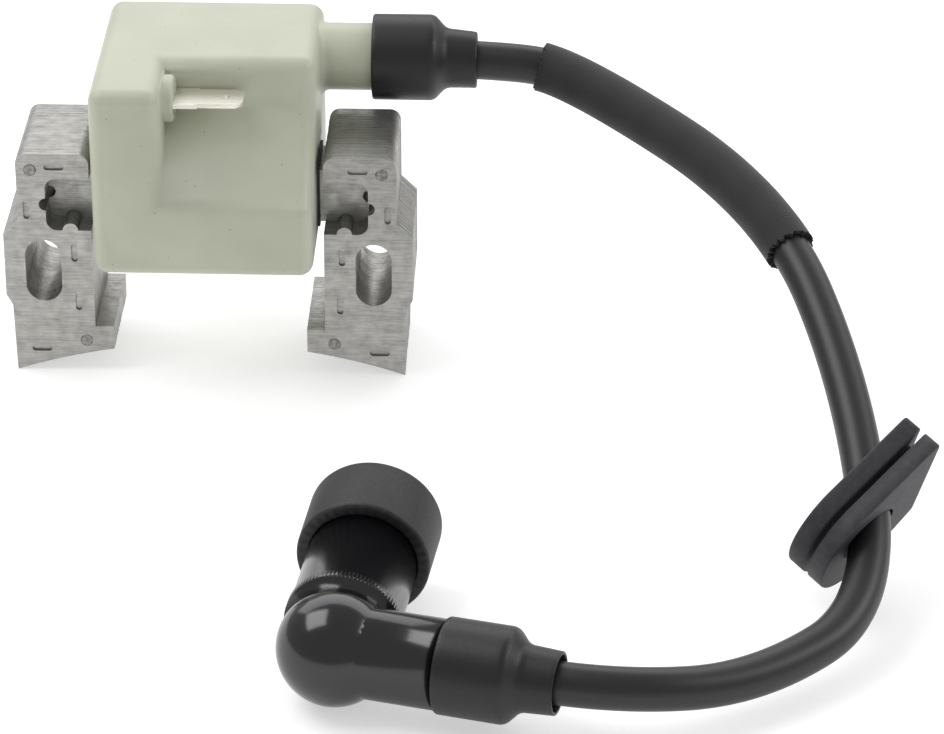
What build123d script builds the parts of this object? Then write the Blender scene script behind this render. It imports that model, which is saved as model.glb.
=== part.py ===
"""Ignition coil of a small petrol engine: core, coil case, lead, grommet and plug cap.

Millimetres. X runs from leg to leg, Y from the front face to the back, Z up from the tips of the legs.
The coil stands on its leg tips, and the lead and the plug cap lie on the same surface.
"""
from math import cos, degrees, radians, sin, sqrt
import os

from build123d import *

# Coil case.
CASE_HALF_WIDTH = 19.5
CASE_HALF_DEPTH = 20.4
CASE_BOTTOM = 24.1
CASE_TOP = 59.8
CASE_WALL = 1.2
CASE_EDGE_RADIUS = 2.6
SHORTEST_ROUNDED_EDGE = 4.0
BLOCK_RIGHT = -7.1
RECESS_Y = -5.2
RECESS_BOTTOM = 50.8
RAMP_BOTTOM = 37.4
POTTING_DROP = 0.8

# Laminated core: one leg is given by its distances from the middle plane, and mirrored for the other.
STACK_DEPTH = 21.3
LEG_GAP = 1.4
LEG_INNER = CASE_HALF_WIDTH + LEG_GAP
LEG_HEIGHT = 43.5
LEG_TOP_OUTER = LEG_INNER + 13.05
LEG_SHOULDER_OUTER = LEG_INNER + 15.9
LEG_FOOT_OUTER = LEG_INNER + 14.8
LEG_TIP_OUTER = LEG_INNER + 14.5
SHOULDER_BOTTOM = 27.5
SHOULDER_RISE = 2.8
FOOT_TOP = 15.3
FOOT_CHAMFER = 2.1
TOE_INNER = LEG_INNER - 3.3
TOE_TOP = 9.0
POLE_RADIUS = 108.5
CORNER_RADIUS = 2.0

# Core bar, which sits in a window in each leg.
BAR_BOTTOM = 28.4
BAR_HEIGHT = 10.2
BAR_DEPTH = 10.4
WINDOW_WALL = LEG_INNER + 8.0
WINDOW_RADIUS = 2.0
WINDOW_CORNER_SPARE = 0.01
KEY_X = LEG_INNER + 3.7
KEY_RADIUS = 1.4
LOCK_RADIUS = 1.2
LOCK_CLEARANCE = 0.05

# Mounting slots for M6 screws, rivets, and the marks that interlock the laminations.
SLOT_SPACING = 2 * (LEG_INNER + 8.9)
SLOT_WIDTH = 6.5
SLOT_LENGTH = 12.3
SLOT_HEIGHT = 20.3
RIVET_DIAMETER = 2.3
RIVET_HEAD_RISE = 0.15
UPPER_RIVET = (LEG_INNER + 10.5, 40.35)
LOWER_RIVET = (LEG_INNER + 1.7, 6.15)
MARK_LENGTH = 3.6
MARK_WIDTH = 1.15
MARK_DEPTH = 0.3
LEVEL_MARKS = [(LEG_INNER + 6.2, 40.9), (LEG_INNER + 9.9, 4.4)]
UPRIGHT_MARKS = [(LEG_INNER + 11.5, 32.4), (LEG_INNER + 3.2, 23.9), (LEG_INNER + 2.8, 14.1)]

# Spade terminal and its boss.
TAB_WIDTH = 6.3
TAB_THICKNESS = 0.8
TAB_TIP = 7.0
TAB_ROOT_WIDTH = 7.2
TAB_ROOT_END = -1.0
TAB_INNER_END = -13.0
TAB_Y = -9.0
TAB_Z = 54.05
TAB_HOLE = 1.6
TAB_HOLE_SETBACK = 3.2
TAB_TIP_CHAMFER = 1.2
BOSS_DIAMETER = 8.4
BOSS_LENGTH = 1.9
BOSS_EDGE_RADIUS = 0.7

# High-tension tower on the right face.
TOWER_DIAMETER = 12.2
TOWER_END = CASE_HALF_WIDTH + 13.5
TOWER_Y = 13.5
TOWER_Z = 52.6
TOWER_FILLET = 1.6
LEAD_SEAT = CASE_HALF_WIDTH + 2.0
PIN_DIAMETER = 2.0
PIN_POINT_DIAMETER = 1.1
PIN_START = CASE_HALF_WIDTH - 6.5
PIN_TIP = LEAD_SEAT + 4.5
PIN_POINT_LENGTH = 1.5
PIN_TIP_RADIUS = 0.1
PIN_SHOULDER_GAP = 0.5
LEAD_SEAT_GAP = 0.3
LEAD_SEAT_CLEARANCE = 0.05

# Windings on the bar.
BOBBIN_CLEARANCE = 0.1
BOBBIN_WALL = 0.6
BOBBIN_STAND_OUT = 0.5
PRIMARY_THICKNESS = 1.0
PRIMARY_HALF_LENGTH = CASE_HALF_WIDTH - 5.0
FLANGE_THICKNESS = 0.8
SECONDARY_GAP = 0.1
SECONDARY_WALL = 0.5
SECONDARY_THICKNESS = 0.65
SECONDARY_SECTIONS = 6
SECONDARY_HALF_LENGTH = CASE_HALF_WIDTH - 6.3
FIN_THICKNESS = 0.6
FIN_RISE = 0.1

# Igniter board and what is soldered to it.
BOARD_SIZE = (25.0, 1.0, 12.0)
BOARD_Y = 3.0
BOARD_X = -3.5
BOARD_GAP = 1.2
TRANSISTOR_SIZE = (10.0, 4.4, 8.8)
TRANSISTOR_X = -9.0
CONTROLLER_SIZE = (4.9, 1.5, 3.9)
CONTROLLER_X = 1.6
RESISTOR_SIZE = (3.2, 0.6, 1.6)
CAPACITOR_SIZE = (3.2, 1.3, 2.5)
SMALL_PARTS_X = 6.4
SMALL_PARTS_SPREAD = 5.0
STRAP_WIDTH = 3.0
STRAP_THICKNESS = 0.3
STRAP_SET_IN = 3.0
STRAP_SLOT_LENGTH = 2.6
STRAP_SLOT_CLEARANCE = 0.1
STRAP_RISER_SET_BACK = 1.3
STRAP_FOOT_TOE = 1.0
STRAP_LANDING = 3.0
STRAP_ARM_SPREAD = 1.5
TRANSISTOR_CHAMFER = 0.6

# High-tension lead. The route runs from the tower to the plug cap.
LEAD_DIAMETER = 7.0
CONDUCTOR_DIAMETER = 1.4
CONDUCTOR_CLEARANCE = 0.1
CONDUCTOR_START = 4.7
CONDUCTOR_END = 5.2
SLEEVE_BORE = LEAD_DIAMETER + 0.2
SLEEVE_DIAMETER = SLEEVE_BORE + 1.8
SLEEVE_START = 0.148
SLEEVE_END = 0.405

# Rubber boots, alike on the tower and on the plug cap.
BOOT_DIAMETER = 15.6
BOOT_NECK_DIAMETER = LEAD_DIAMETER + 3.2
BOOT_BARREL = 11.2
BOOT_CONE = 2.2
BOOT_NECK = 5.6
BOOT_FIT = 0.1
BOOT_SEAT = 4.3
BOOT_LEAD_CLEARANCE = 0.5
BOOT_EDGE_RADIUS = 0.5
BOOT_END_GAP = 0.4

# Panel grommet on the lead.
GROMMET_REACH = 14.5
GROMMET_WIDTH = 20.0
GROMMET_END_WIDTH = 16.5
GROMMET_END_SLANT = 8.0
GROMMET_ROUND_SETBACK = 5.0
GROMMET_FLANGE = 3.1
GROMMET_GROOVE = 1.3
GROMMET_GROOVE_DEPTH = 2.5
GROMMET_CORNER = 1.0
GROMMET_LEAD_CLEARANCE = 0.7
GROMMET_RIM_RADIUS = 0.4
GROMMET_PLACE = 0.619
GROMMET_FACING = (0.715, -0.567, -0.387)
GROMMET_LONG_WAY = (0.687, 0.489, 0.552)

# Plug cap. Its elbow ball is where the arm, round the lead, meets the plug tube.
CAP_CENTRE = (29.0, -118.2, 9.5)
CAP_ARM_TURN = -14.5
CAP_ELBOW = 97.0
BALL_DIAMETER = 18.8
ARM_DIAMETER = 14.6
ARM_END = 17.5
SPIGOT_END = 22.0
LEAD_STOP = 17.0
LEAD_BORE_CLEARANCE = 0.1
TUBE_DIAMETER = 18.1
TUBE_START = 6.0
TUBE_END = 28.0
COLLAR_DIAMETER = 18.9
COLLAR_WIDTH = 1.8
SEAL_DIAMETER = 22.3
SEAL_START = 24.0
SEAL_END = 37.0
SEAL_BORE = 11.6
SEAL_LIP_BORE = 13.6
SEAL_LIP_DEPTH = 3.0
SEAL_EDGE = 0.8
SUPPRESSOR_BORE = 4.6
SUPPRESSOR_DIAMETER = 4.4
SUPPRESSOR_START = 3.0
SUPPRESSOR_LENGTH = 8.5
SUPPRESSOR_CAP = 1.6
SUPPRESSOR_BODY_RELIEF = 0.2
SPRING_LENGTH = 3.0
SPRING_WIRE = 0.5
SPRING_TURNS = 3
SPRING_END_GAP = 0.05
TERMINAL_DIAMETER = 8.6
TERMINAL_BORE = 6.4
TERMINAL_LENGTH = 9.0
TERMINAL_FLOOR = 1.2
CLIP_WIRE = 0.7
CLIP_SETBACK = 3.0
CLIP_GAP = 2.4
SCREW_DIAMETER = 1.2
SCREW_HEAD_DIAMETER = 5.0
SCREW_HEAD_START = 9.0
SCREW_HEAD_LENGTH = 3.0
SCREW_TIP = 21.0
SCREW_HEAD_CLEARANCE = 0.1
SCREW_CLEARANCE = 0.05
SCREW_HEAD_GAP = 0.2
SCREW_POINT = 0.4
LEAD_STOP_GAP = 0.3

# Route of the lead: start in the tower, then points chosen for its fall, its loop and its run to the cap.
ROUTE_MIDDLE = [
    (64.5, TOWER_Y, TOWER_Z),
    (97.0, -19.8, 44.0),
    (115.0, -59.8, 26.0),
    (114.2, -99.0, 9.3),
    (101.0, -118.2, 5.5),
]
CAP_STRAIGHT = 46.0

bar_top = BAR_BOTTOM + BAR_HEIGHT
bar_middle = BAR_BOTTOM + BAR_HEIGHT / 2
half_stack = STACK_DEPTH / 2
cap_place = Pos(*CAP_CENTRE) * Rot(0, 0, CAP_ARM_TURN)
arm_direction = Vector(cos(radians(CAP_ARM_TURN)), sin(radians(CAP_ARM_TURN)), 0)
seal_rise = (SEAL_DIAMETER / 2 - CAP_CENTRE[2]) / SEAL_START
cap_tilt = Rot(degrees(seal_rise), 0, 0)


def box_between(low, high):
    """Box from its lowest to its highest corner."""
    size = [b - a for a, b in zip(low, high)]
    middle = [(a + b) / 2 for a, b in zip(low, high)]
    return Pos(*middle) * Box(*size)


def rod_along_x(diameter, start, end, y=0.0, z=0.0):
    """Round rod parallel to X."""
    return Pos((start + end) / 2, y, z) * Rot(0, 90, 0) * Cylinder(diameter / 2, end - start)


def rod_along_y(diameter, start, end, x=0.0, z=0.0):
    """Round rod parallel to Y."""
    return Pos(x, (start + end) / 2, z) * Rot(90, 0, 0) * Cylinder(diameter / 2, end - start)


def turned(profile):
    """Body of revolution about X, from (distance along X, radius) points."""
    with BuildPart() as body:
        with BuildSketch(Plane.XY):
            with BuildLine():
                Polyline(*profile, close=True)
            make_face()
        revolve(axis=Axis.X)
    return body.part


# Core

def leg_outline():
    """Points of the right leg from the outer tip, up its outer side, to the toe."""
    toe_height = sqrt(POLE_RADIUS**2 - TOE_INNER**2) - sqrt(POLE_RADIUS**2 - LEG_TIP_OUTER**2)
    return [
        (LEG_TIP_OUTER, 0),
        (LEG_FOOT_OUTER, FOOT_TOP - FOOT_CHAMFER),
        (LEG_SHOULDER_OUTER, FOOT_TOP),
        (LEG_SHOULDER_OUTER, SHOULDER_BOTTOM),
        (LEG_TOP_OUTER, SHOULDER_BOTTOM + SHOULDER_RISE),
        (LEG_TOP_OUTER, LEG_HEIGHT),
        (LEG_INNER, LEG_HEIGHT),
        (LEG_INNER, TOE_TOP),
        (TOE_INNER, TOE_TOP),
        (TOE_INNER, toe_height),
    ]


def core_leg():
    """Right leg: stacked laminations with a window for the bar, a slot and two rivet holes."""
    outline = leg_outline()
    middle_x = (LEG_TIP_OUTER + TOE_INNER) / 2
    middle_z = sqrt(POLE_RADIUS**2 - middle_x**2) - sqrt(POLE_RADIUS**2 - LEG_TIP_OUTER**2)
    with BuildPart() as leg:
        with BuildSketch(Plane.XZ) as face:
            with BuildLine():
                Polyline(*outline)
                ThreePointArc(outline[-1], (middle_x, middle_z), outline[0])
            make_face()
            top_corners = face.vertices().group_by(Axis.Y)[-1]
            fillet(top_corners, CORNER_RADIUS)
            with Locations((WINDOW_WALL - WINDOW_RADIUS, bar_middle)):
                corner = WINDOW_RADIUS - WINDOW_CORNER_SPARE
                RectangleRounded(2 * WINDOW_RADIUS, BAR_HEIGHT, corner, mode=Mode.SUBTRACT)
            with Locations(((LEG_INNER + WINDOW_WALL - WINDOW_RADIUS) / 2 - 1, bar_middle)):
                Rectangle(WINDOW_WALL - WINDOW_RADIUS - LEG_INNER + 2, BAR_HEIGHT, mode=Mode.SUBTRACT)
            with Locations((WINDOW_WALL, bar_middle)):
                Circle(LOCK_RADIUS, mode=Mode.SUBTRACT)
            with Locations((KEY_X, BAR_BOTTOM)):
                Circle(KEY_RADIUS)
            with Locations((SLOT_SPACING / 2, SLOT_HEIGHT)):
                SlotOverall(SLOT_LENGTH, SLOT_WIDTH, rotation=90, mode=Mode.SUBTRACT)
            with Locations(UPPER_RIVET, LOWER_RIVET):
                Circle(RIVET_DIAMETER / 2, mode=Mode.SUBTRACT)
        extrude(amount=half_stack, both=True)
    return leg.part - stamped_marks()


def stamped_marks():
    """Cutters for the shallow interlock marks on the front and back faces of the right leg."""
    cutters = []
    for y in (-half_stack, half_stack):
        for marks, turn in ((LEVEL_MARKS, 0), (UPRIGHT_MARKS, 90)):
            for x, z in marks:
                shape = extrude(SlotOverall(MARK_LENGTH, MARK_WIDTH, rotation=turn), MARK_DEPTH, both=True)
                cutters.append(Pos(x, y, z) * Rot(90, 0, 0) * shape)
    return cutters


def rivet(place):
    """Core rivet on the right leg, its heads pressed nearly flush."""
    x, z = place
    reach = half_stack + RIVET_HEAD_RISE
    body = rod_along_y(RIVET_DIAMETER, -reach, reach, x, z)
    rims = body.edges().filter_by(GeomType.CIRCLE)
    return chamfer(rims, RIVET_HEAD_RISE)


def core_bar():
    """Laminated bar between the legs, keyed to their windows."""
    low = (-WINDOW_WALL, -BAR_DEPTH / 2, BAR_BOTTOM)
    high = (WINDOW_WALL, BAR_DEPTH / 2, bar_top)
    bar = box_between(low, high)
    end_edges = [e for e in bar.edges().filter_by(Axis.Y) if abs(e.center().X) > WINDOW_WALL - 1]
    bar = fillet(end_edges, WINDOW_RADIUS)
    for side in (-1, 1):
        bar -= rod_along_y(2 * LOCK_RADIUS, -BAR_DEPTH, BAR_DEPTH, side * WINDOW_WALL, bar_middle)
        key = 2 * (KEY_RADIUS + LOCK_CLEARANCE)
        bar -= rod_along_y(key, -BAR_DEPTH, BAR_DEPTH, side * KEY_X, BAR_BOTTOM)
    return bar


# Windings

def bar_sleeve(inner_margin, outer_margin, start, end):
    """Square tube round the bar, between two margins from the bar's faces."""
    half = BAR_DEPTH / 2
    low = (start, -half - outer_margin, BAR_BOTTOM - outer_margin)
    high = (end, half + outer_margin, bar_top + outer_margin)
    hole_low = (start - 1, -half - inner_margin, BAR_BOTTOM - inner_margin)
    hole_high = (end + 1, half + inner_margin, bar_top + inner_margin)
    return box_between(low, high) - box_between(hole_low, hole_high)


bobbin_outer = BOBBIN_CLEARANCE + BOBBIN_WALL
primary_outer = bobbin_outer + PRIMARY_THICKNESS
secondary_inner = primary_outer + SECONDARY_GAP
secondary_floor = secondary_inner + SECONDARY_WALL
secondary_outer = secondary_floor + SECONDARY_THICKNESS + FIN_RISE
bobbin_reach = CASE_HALF_WIDTH + BOBBIN_STAND_OUT
flange_end = PRIMARY_HALF_LENGTH + FLANGE_THICKNESS


def strap_slot():
    """Slot through the top of the bobbin where the earth strap reaches the bar."""
    half = STRAP_WIDTH / 2 + STRAP_SLOT_CLEARANCE
    middle = -CASE_HALF_WIDTH + STRAP_SET_IN - (STRAP_RISER_SET_BACK - STRAP_FOOT_TOE) / 2
    low = (middle - STRAP_SLOT_LENGTH / 2, -half, bar_top)
    return box_between(low, (middle + STRAP_SLOT_LENGTH / 2, half, bar_top + primary_outer))


def primary_bobbin():
    """Moulded tube round the bar, with two flanges and ends that stand out of the case."""
    tube = bar_sleeve(BOBBIN_CLEARANCE, bobbin_outer, -bobbin_reach, bobbin_reach)
    for start in (-flange_end, PRIMARY_HALF_LENGTH):
        tube += bar_sleeve(BOBBIN_CLEARANCE, primary_outer, start, start + FLANGE_THICKNESS)
    return tube - strap_slot()


def primary_winding():
    """Layers of thick copper wire on the primary bobbin."""
    return bar_sleeve(bobbin_outer, primary_outer, -PRIMARY_HALF_LENGTH, PRIMARY_HALF_LENGTH)


def secondary_bobbin():
    """Sectioned bobbin with a fin between each two sections."""
    tube = bar_sleeve(secondary_inner, secondary_floor, -SECONDARY_HALF_LENGTH, SECONDARY_HALF_LENGTH)
    for start in fin_starts():
        tube += bar_sleeve(secondary_floor, secondary_outer, start, start + FIN_THICKNESS)
    return tube


def fin_starts():
    """Left face of every fin along the bobbin."""
    pitch = (2 * SECONDARY_HALF_LENGTH - FIN_THICKNESS) / SECONDARY_SECTIONS
    return [-SECONDARY_HALF_LENGTH + pitch * i for i in range(SECONDARY_SECTIONS + 1)]


def secondary_winding():
    """Fine wire in the sections of the secondary bobbin, each a ring of its own."""
    starts = fin_starts()
    rings = []
    for left, right in zip(starts, starts[1:]):
        rings.append(
            bar_sleeve(secondary_floor, secondary_floor + SECONDARY_THICKNESS, left + FIN_THICKNESS, right)
        )
    return Compound(children=rings)


# Coil case and what is potted in it

def body_profile():
    """Side profile of the case right of the block: cut back at the top front, with a ramp below it."""
    with BuildSketch(Plane.YZ) as profile:
        with BuildLine():
            Polyline(
                (-CASE_HALF_DEPTH, CASE_BOTTOM),
                (-CASE_HALF_DEPTH, RAMP_BOTTOM),
                (RECESS_Y, RECESS_BOTTOM),
                (RECESS_Y, CASE_TOP),
                (CASE_HALF_DEPTH, CASE_TOP),
                (CASE_HALF_DEPTH, CASE_BOTTOM),
                close=True,
            )
        make_face()
    return profile.sketch


def case_block(inset):
    """Full-height left block, drawn in by an inset on the sides that have a wall."""
    low = (-CASE_HALF_WIDTH + inset, -CASE_HALF_DEPTH + inset, CASE_BOTTOM + inset)
    high = (BLOCK_RIGHT - inset, CASE_HALF_DEPTH, CASE_TOP - inset)
    return box_between(low, high)


def case_outside():
    """Outer form of the moulded case, with rounded edges."""
    low_part = extrude(body_profile(), CASE_HALF_WIDTH, both=True)
    body = low_part + case_block(0)
    edges = []
    for edge in body.edges():
        on_rear = abs(edge.center().Y - CASE_HALF_DEPTH) < 0.01
        if not on_rear and not edge.is_interior and edge.length > SHORTEST_ROUNDED_EDGE:
            edges.append(edge)
    return fillet(edges, CASE_EDGE_RADIUS)


def case_cavity():
    """Room inside the case, open at the back."""
    profile = offset(body_profile(), -CASE_WALL, kind=Kind.INTERSECTION)
    room = extrude(profile, CASE_HALF_WIDTH - CASE_WALL, both=True)
    room += Pos(0, 2 * CASE_WALL, 0) * room
    return room + case_block(CASE_WALL)


def bobbin_passage(reach):
    """Space that the bar and the round-the-bar tube take through the case."""
    half = BAR_DEPTH / 2 + bobbin_outer
    return box_between((-reach, -half, BAR_BOTTOM - bobbin_outer), (reach, half, bar_top + bobbin_outer))


def tower_outside():
    """High-tension tower with a fillet where it leaves the case."""
    return rod_along_x(TOWER_DIAMETER, CASE_HALF_WIDTH - 4, TOWER_END, TOWER_Y, TOWER_Z)


def kill_terminal():
    """Spade terminal: a wide root in the case and a standard tab with a hole."""
    half = TAB_THICKNESS / 2
    root_low = (TAB_INNER_END, TAB_Y - TAB_ROOT_WIDTH / 2, TAB_Z - half)
    root = box_between(root_low, (TAB_ROOT_END, TAB_Y + TAB_ROOT_WIDTH / 2, TAB_Z + half))
    tab_low = (TAB_ROOT_END - 1, TAB_Y - TAB_WIDTH / 2, TAB_Z - half)
    tab = box_between(tab_low, (TAB_TIP, TAB_Y + TAB_WIDTH / 2, TAB_Z + half))
    tip_corners = [e for e in tab.edges().filter_by(Axis.Z) if e.center().X > TAB_TIP - 0.1]
    tab = chamfer(tip_corners, TAB_TIP_CHAMFER)
    hole = Pos(TAB_TIP - TAB_HOLE_SETBACK, TAB_Y, TAB_Z) * Cylinder(TAB_HOLE / 2, 2 * TAB_THICKNESS)
    return root + tab - hole


def ht_pin():
    """High-tension pin: a rod from the potting into the tower, drawn to a spike for the lead."""
    rod_end = LEAD_SEAT - PIN_SHOULDER_GAP
    radius = PIN_DIAMETER / 2
    point = PIN_POINT_DIAMETER / 2
    profile = [
        (PIN_START, 0),
        (PIN_START, radius),
        (rod_end, radius),
        (rod_end, point),
        (PIN_TIP - PIN_POINT_LENGTH, point),
        (PIN_TIP, PIN_TIP_RADIUS),
        (PIN_TIP, 0),
    ]
    return Pos(0, TOWER_Y, TOWER_Z) * turned(profile)


board_bottom = bar_top + secondary_outer + BOARD_GAP
board_back = BOARD_Y + BOARD_SIZE[1] / 2
board_front = BOARD_Y - BOARD_SIZE[1] / 2
board_middle_z = board_bottom + BOARD_SIZE[2] / 2


def igniter_board():
    """Circuit board that carries the switching parts."""
    return Pos(BOARD_X, BOARD_Y, board_middle_z) * Box(*BOARD_SIZE)


def on_board(size, x, z_offset=0.0, behind=True):
    """Block soldered flat on the back or the front of the board."""
    y = board_back + size[1] / 2 if behind else board_front - size[1] / 2
    return Pos(x, y, board_middle_z + z_offset) * Box(*size)


def power_transistor():
    """Switching transistor with its chamfered top."""
    body = on_board(TRANSISTOR_SIZE, TRANSISTOR_X)
    return chamfer(body.edges().filter_by(Axis.X).group_by(Axis.Y)[-1], TRANSISTOR_CHAMFER)


def earth_strap():
    """Copper strap from the board to the top of the bar."""
    middle = -CASE_HALF_WIDTH + STRAP_SET_IN
    left = middle - STRAP_RISER_SET_BACK
    half = STRAP_WIDTH / 2
    landing = board_bottom + STRAP_LANDING
    foot = box_between((left, -half, bar_top), (middle + STRAP_FOOT_TOE, half, bar_top + STRAP_THICKNESS))
    riser = box_between((left, -half, bar_top), (left + STRAP_THICKNESS, half, landing))
    arm = box_between(
        (left, -half, landing - STRAP_THICKNESS),
        (BOARD_X - BOARD_SIZE[0] / 2, half + STRAP_ARM_SPREAD, landing),
    )
    return foot + riser + arm


def coil_case():
    """Moulded case: a shell open at the back, with the terminal boss and the tower."""
    shell = case_outside() + tower_outside()
    root = shell.edges().filter_by(GeomType.CIRCLE).sort_by(lambda e: abs(e.center().X - CASE_HALF_WIDTH))[0]
    shell = fillet(root, TOWER_FILLET)
    boss = rod_along_x(BOSS_DIAMETER, BLOCK_RIGHT - 1, BLOCK_RIGHT + BOSS_LENGTH, TAB_Y, TAB_Z)
    boss_rim = boss.edges().filter_by(GeomType.CIRCLE).sort_by(Axis.X)[-1]
    shell += fillet(boss_rim, BOSS_EDGE_RADIUS)
    shell -= case_cavity()
    shell -= bobbin_passage(CASE_HALF_WIDTH + 2)
    shell -= kill_terminal()
    lead_hole = LEAD_DIAMETER + 2 * LEAD_SEAT_CLEARANCE
    shell -= rod_along_x(lead_hole, LEAD_SEAT - LEAD_SEAT_GAP, TOWER_END + 1, TOWER_Y, TOWER_Z)
    return shell - rod_along_x(PIN_DIAMETER, PIN_START, LEAD_SEAT, TOWER_Y, TOWER_Z)


def potting(others):
    """Resin that fills the case round everything in it."""
    fill_top = box_between(
        (-CASE_HALF_WIDTH, -CASE_HALF_DEPTH, CASE_BOTTOM),
        (CASE_HALF_WIDTH, CASE_HALF_DEPTH - POTTING_DROP, CASE_TOP),
    )
    resin = case_cavity() & fill_top
    resin -= bobbin_passage(CASE_HALF_WIDTH)
    half = flange_end
    resin -= bar_sleeve(0, secondary_outer, -half, half)
    for other in others:
        resin -= other
    return resin


# Lead

def route_points():
    """Whole route of the lead: into the tower at one end and into the cap's arm at the other."""
    centre = Vector(*CAP_CENTRE)
    start = (LEAD_SEAT, TOWER_Y, TOWER_Z)
    last_turn = centre + arm_direction * CAP_STRAIGHT
    end = centre + arm_direction * LEAD_STOP
    return [Vector(*start)] + [Vector(*p) for p in ROUTE_MIDDLE] + [last_turn, end]


def bend_radii(points):
    """Largest arc that each corner's two runs allow."""
    radii = []
    for before, corner, after in zip(points, points[1:], points[2:]):
        run = min((corner - before).length, (after - corner).length)
        turn = (corner - before).get_angle(after - corner)
        radii.append(0.45 * run * cos(radians(turn / 2)) / sin(radians(turn / 2)))
    return radii


def lead_path():
    """Centre line of the lead."""
    points = route_points()
    return FilletPolyline(*points, radius=bend_radii(points)).wire()


def along(path, start, end, outer, inner=0.0):
    """Round rod or tube along a stretch of a path, given as shares of its length."""
    stretch = path if (start, end) == (0, 1) else path.trim(start, end)
    plane = Plane(origin=stretch @ 0, z_dir=stretch % 0)
    section = Circle(outer / 2)
    if inner:
        section -= Circle(inner / 2)
    return sweep(plane * section, path=stretch)


def grommet(path):
    """Rubber panel grommet: two flanges with a groove between them, tilted on the lead."""
    total = 2 * GROMMET_FLANGE + GROMMET_GROOVE
    layers = (
        (0, GROMMET_FLANGE, 0),
        (GROMMET_FLANGE, GROMMET_GROOVE, GROMMET_GROOVE_DEPTH),
        (GROMMET_FLANGE + GROMMET_GROOVE, GROMMET_FLANGE, 0),
    )
    solids = [Pos(0, 0, start - total / 2) * extrude(grommet_face(inset), height) for start, height, inset in layers]
    body = solids[0] + solids[1:]
    rims = [e for e in body.edges() if abs(abs(e.center().Z) - total / 2) < 0.01]
    body = fillet(rims, GROMMET_RIM_RADIUS)
    centre = path @ GROMMET_PLACE
    tilted = Plane(origin=centre, x_dir=GROMMET_LONG_WAY, z_dir=GROMMET_FACING)
    hole = Cylinder(LEAD_DIAMETER / 2 + GROMMET_LEAD_CLEARANCE, 4 * total)
    return tilted.location * body - Plane(origin=centre, z_dir=path % GROMMET_PLACE).location * hole


def grommet_face(inset):
    """Flange outline about the lead: one round end, and sides that draw in to a slanted end."""
    half = GROMMET_WIDTH / 2 - inset
    end_half = GROMMET_END_WIDTH / 2 - inset
    reach = GROMMET_REACH - inset
    with BuildSketch() as face:
        with BuildLine():
            Polyline(
                (-GROMMET_ROUND_SETBACK, -half),
                (reach - GROMMET_END_SLANT, -end_half),
                (reach, end_half),
                (-GROMMET_ROUND_SETBACK, half),
                close=True,
            )
        make_face()
        fillet(face.vertices().sort_by(Axis.X)[-2:], GROMMET_CORNER)
        with Locations((-GROMMET_ROUND_SETBACK, 0)):
            Circle(half)
    return face.sketch


def boot(mouth_bore):
    """Rubber boot about X, from its wide mouth at the origin to its neck on the lead."""
    lead_bore = LEAD_DIAMETER / 2 + BOOT_LEAD_CLEARANCE
    seat = mouth_bore / 2 + BOOT_FIT
    cone_end = BOOT_BARREL + BOOT_CONE
    total = cone_end + BOOT_NECK
    barrel = BOOT_DIAMETER / 2
    neck = BOOT_NECK_DIAMETER / 2
    edge = BOOT_EDGE_RADIUS
    profile = [
        (0, seat),
        (0, barrel - edge),
        (edge, barrel),
        (BOOT_BARREL, barrel),
        (cone_end, neck),
        (total - edge, neck),
        (total, neck - edge),
        (total, lead_bore),
        (BOOT_SEAT + BOOT_END_GAP, lead_bore),
        (BOOT_SEAT + BOOT_END_GAP, seat),
    ]
    return turned(profile)


# Plug cap, about its elbow: the arm along X, the plug tube turned from it by the elbow angle

tube_place = Rot(0, 0, CAP_ELBOW)


def cap_body():
    """Hard elbow: ball, arm with a spigot for the boot, collar and plug tube."""
    body = Sphere(BALL_DIAMETER / 2)
    body += rod_along_x(ARM_DIAMETER, 0, ARM_END)
    body += rod_along_x(TOWER_DIAMETER, ARM_END - 1, SPIGOT_END)
    tube = rod_along_x(TUBE_DIAMETER, TUBE_START, TUBE_END)
    tube += rod_along_x(COLLAR_DIAMETER, TUBE_START, TUBE_START + COLLAR_WIDTH)
    body += tube_place * tube
    body -= rod_along_x(LEAD_DIAMETER + 2 * LEAD_BORE_CLEARANCE, LEAD_STOP - LEAD_STOP_GAP, SPIGOT_END + 1)
    screw_end = SCREW_HEAD_START - SCREW_HEAD_GAP
    body -= rod_along_x(SCREW_HEAD_DIAMETER, screw_end, LEAD_STOP)
    body -= rod_along_x(SCREW_DIAMETER, 0, screw_end + 1)
    cut = rod_along_x(SUPPRESSOR_BORE, SUPPRESSOR_START - 1, terminal_start() + 1)
    cut += rod_along_x(TERMINAL_DIAMETER, terminal_start(), terminal_start() + TERMINAL_LENGTH)
    cut += rod_along_x(SEAL_BORE, terminal_start() + TERMINAL_LENGTH, TUBE_END + 1)
    return body - tube_place * cut


def terminal_start():
    """Where the plug terminal begins along the tube."""
    return SUPPRESSOR_START + SUPPRESSOR_LENGTH + SPRING_LENGTH


def plug_seal():
    """Rubber seal over the end of the tube, with a wider lip at its mouth."""
    barrel = SEAL_DIAMETER / 2
    seat = TUBE_DIAMETER / 2
    profile = [
        (SEAL_START, seat),
        (SEAL_START, barrel - SEAL_EDGE),
        (SEAL_START + SEAL_EDGE, barrel),
        (SEAL_END - SEAL_EDGE, barrel),
        (SEAL_END, barrel - SEAL_EDGE),
        (SEAL_END, SEAL_LIP_BORE / 2),
        (SEAL_END - SEAL_LIP_DEPTH, SEAL_BORE / 2),
        (TUBE_END, SEAL_BORE / 2),
        (TUBE_END, seat),
    ]
    return tube_place * turned(profile)


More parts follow.
